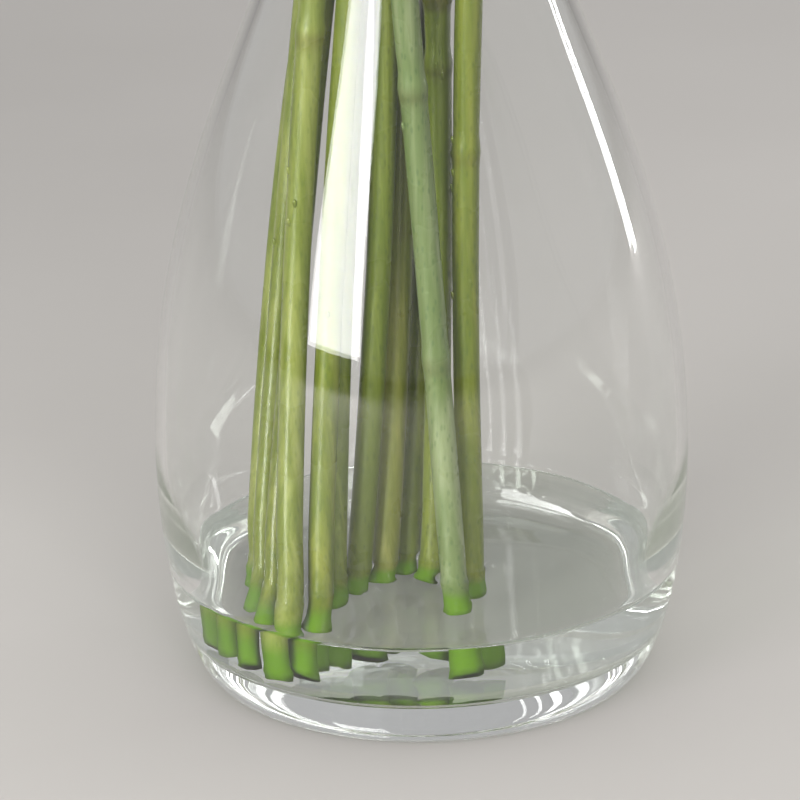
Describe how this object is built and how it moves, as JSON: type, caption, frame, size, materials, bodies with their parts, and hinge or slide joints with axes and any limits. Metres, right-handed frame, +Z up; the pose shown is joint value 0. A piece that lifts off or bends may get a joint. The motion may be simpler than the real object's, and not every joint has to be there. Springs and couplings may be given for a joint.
{
  "type": "lilies in a vase",
  "caption": "Cut white lilies on green stems in a clear glass bottle vase that holds a little water; a free-standing decoration for a table.",
  "frame": {"origin": "centre of the vase's flat underside", "axes": "+Z up along the vase's axis; -Y is the front, where the stems' feet stand left of centre; +X to the right"},
  "size_m": [0.3531, 0.367, 0.5816],
  "materials": {
    "vase_glass": "polished",
    "water": "polished",
    "stem_green": "satin",
    "petal_white": "satin",
    "bud_green": "satin",
    "leaf_green": "satin"
  },
  "bodies": {
    "root": {"vase": "vase_glass", "water": "water", "stem_01": "stem_green", "stem_02": "stem_green", "stem_03": "stem_green", "stem_04": "stem_green", "stem_05": "stem_green", "stem_06": "stem_green", "stem_07": "stem_green", "stem_08": "stem_green", "stem_09": "stem_green", "stem_10": "stem_green", "stem_11": "stem_green", "stem_12": "stem_green", "bloom_01": "petal_white", "bloom_02": "petal_white", "bloom_03": "petal_white", "bloom_04": "petal_white", "bloom_05": "petal_white", "bloom_06": "petal_white", "bloom_07": "petal_white", "bloom_08": "petal_white", "bloom_09": "petal_white", "bloom_10": "petal_white", "bud_01": "bud_green", "bud_02": "bud_green", "bud_03": "bud_green", "bud_04": "bud_green", "bud_05": "bud_green", "bud_06": "bud_green", "bud_07": "bud_green", "bud_08": "bud_green", "leaf_01": "leaf_green", "leaf_02": "leaf_green", "leaf_03": "leaf_green", "leaf_04": "leaf_green", "leaf_05": "leaf_green", "leaf_06": "leaf_green", "leaf_07": "leaf_green", "leaf_08": "leaf_green", "leaf_09": "leaf_green", "leaf_10": "leaf_green", "leaf_11": "leaf_green", "leaf_12": "leaf_green", "leaf_13": "leaf_green", "leaf_14": "leaf_green", "leaf_15": "leaf_green", "leaf_16": "leaf_green", "leaf_17": "leaf_green", "leaf_18": "leaf_green", "leaf_19": "leaf_green", "leaf_20": "leaf_green", "leaf_21": "leaf_green", "leaf_22": "leaf_green", "leaf_23": "leaf_green", "leaf_24": "leaf_green", "leaf_25": "leaf_green", "leaf_26": "leaf_green", "leaf_27": "leaf_green", "leaf_28": "leaf_green"}
  },
  "joints": []
}
